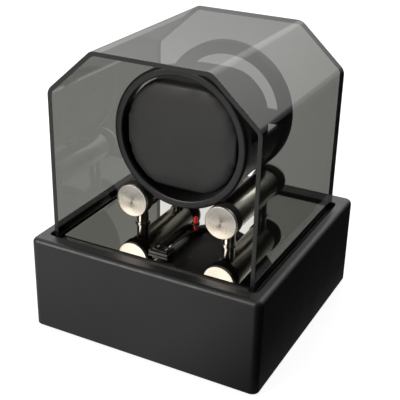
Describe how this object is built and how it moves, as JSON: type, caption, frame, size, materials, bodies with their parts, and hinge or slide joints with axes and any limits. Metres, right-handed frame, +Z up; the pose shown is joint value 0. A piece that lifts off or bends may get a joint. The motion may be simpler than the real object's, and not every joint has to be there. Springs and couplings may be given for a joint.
{
  "type": "watch winder box",
  "caption": "Single watch winder: leather-wrapped box with a mirror deck, and a drum with a cushion that turns on powered rollers under a bent smoked acrylic cover open at both ends.",
  "frame": {"origin": "middle of the object's footprint, on the surface that it stands on", "axes": "+Z up; the drum's axis runs along Y, with the cushion's face and the switch towards -Y; +X to the right seen from the front"},
  "size_m": [0.167, 0.167, 0.198],
  "materials": {
    "wrapped_leather": "fine-grained, satin",
    "blackened_wood": "painted matt black",
    "pine_block": "sawn",
    "panel_board": "smooth black board",
    "steel_screw": "plated",
    "foot_rubber": "matt",
    "tinted_mirror": "smoked, polished",
    "smoked_acrylic": "clear polished, grey-green tint",
    "satin_steel": "satin, brushed along the tube",
    "spun_steel": "turned in fine circles",
    "black_plastic": "moulded, fine texture",
    "bronze": "sintered",
    "motor_steel": "plated",
    "lead_insulation": "smooth",
    "tyre_rubber": "matt",
    "drum_plastic": "satin black",
    "cushion_leather": "soft satin",
    "cushion_foam_core": "moulded",
    "switch_plastic": "semi-gloss",
    "terminal_brass": "tinned",
    "lamp_red": "clear red, polished",
    "board_green": "solder mask",
    "component_black": "moulded",
    "cell_label": "printed film, no lettering",
    "contact_steel": "plated spring steel"
  },
  "bodies": {
    "base": {"base_case": "wrapped_leather", "corner_blocks": "pine_block", "bottom_panel": "panel_board", "bottom_screws": "steel_screw", "rubber_feet": "foot_rubber", "deck_board": "blackened_wood", "deck_screws": "steel_screw", "mirror_deck": "tinted_mirror", "support_posts": "satin_steel", "post_studs": "steel_screw", "stud_washers": "steel_screw", "stud_nuts": "steel_screw", "drive_tube": "satin_steel", "idler_tube": "satin_steel", "tube_end_blocks": "black_plastic", "shaft_bushes": "bronze", "motor_gearbox": "bronze", "motor_can": "motor_steel", "motor_sleeve": "black_plastic", "motor_leads": "lead_insulation", "rear_stub_axle": "motor_steel", "switch_body": "switch_plastic", "switch_terminals": "terminal_brass", "led_lamp": "lamp_red", "led_clip": "black_plastic", "circuit_board": "board_green", "board_standoffs": "black_plastic", "board_components": "component_black", "battery_tray": "black_plastic", "battery_cells": "cell_label", "battery_contacts": "contact_steel", "dc_jack_body": "black_plastic", "dc_jack_pin": "terminal_brass", "dc_jack_nut": "steel_screw"},
    "cover": {"smoked_cover": "smoked_acrylic"},
    "drum": {"drum_shell": "drum_plastic", "front_hoop": "drum_plastic", "rear_hoop": "drum_plastic", "cushion_holder": "black_plastic", "holder_screws": "steel_screw"},
    "cushion": {"cushion_core": "cushion_foam_core", "cushion_pad": "cushion_leather"},
    "drive_wheel": {"drive_shaft": "motor_steel", "drive_wheel_hub": "black_plastic", "drive_wheel_tyre": "tyre_rubber", "drive_wheel_cap": "spun_steel"},
    "rear_wheel": {"rear_wheel_hub": "black_plastic", "rear_wheel_tyre": "tyre_rubber", "rear_wheel_cap": "spun_steel"},
    "idler_wheels": {"idler_axle": "motor_steel", "idler_wheel_hubs": "black_plastic", "idler_wheel_tyres": "tyre_rubber", "idler_wheel_caps": "spun_steel"},
    "rocker": {"switch_rocker": "switch_plastic"}
  },
  "joints": [
    {"name": "drum_spin", "type": "hinge", "parent": "base", "child": "drum", "pos_m": [0, 0, 0.13706], "axis": [0, 1, 0], "continuous": true},
    {"name": "drive_wheel_spin", "type": "hinge", "parent": "base", "child": "drive_wheel", "pos_m": [0.0331, 0, 0.0878], "axis": [0, 1, 0], "continuous": true},
    {"name": "rear_wheel_spin", "type": "hinge", "parent": "base", "child": "rear_wheel", "pos_m": [0.0331, 0.0385, 0.0878], "axis": [0, 1, 0], "continuous": true},
    {"name": "idler_spin", "type": "hinge", "parent": "base", "child": "idler_wheels", "pos_m": [-0.0331, 0, 0.0878], "axis": [0, 1, 0], "continuous": true},
    {"name": "cushion_pull", "type": "slide", "parent": "drum", "child": "cushion", "axis": [0, -1, 0], "range_m": [0, 0.07]},
    {"name": "cover_lift", "type": "slide", "parent": "base", "child": "cover", "axis": [0, 0, 1], "range_m": [0, 0.14]},
    {"name": "switch_rock", "type": "hinge", "parent": "base", "child": "rocker", "pos_m": [0, -0.054, 0.0672], "axis": [0, -1, 0], "range_deg": [0, 16]}
  ],
  "couplings": [
    {"joint": "drive_wheel_spin", "follows": "drum_spin", "ratio": -4.1034},
    {"joint": "rear_wheel_spin", "follows": "drum_spin", "ratio": -4.1034},
    {"joint": "idler_spin", "follows": "drum_spin", "ratio": -4.1034}
  ]
}
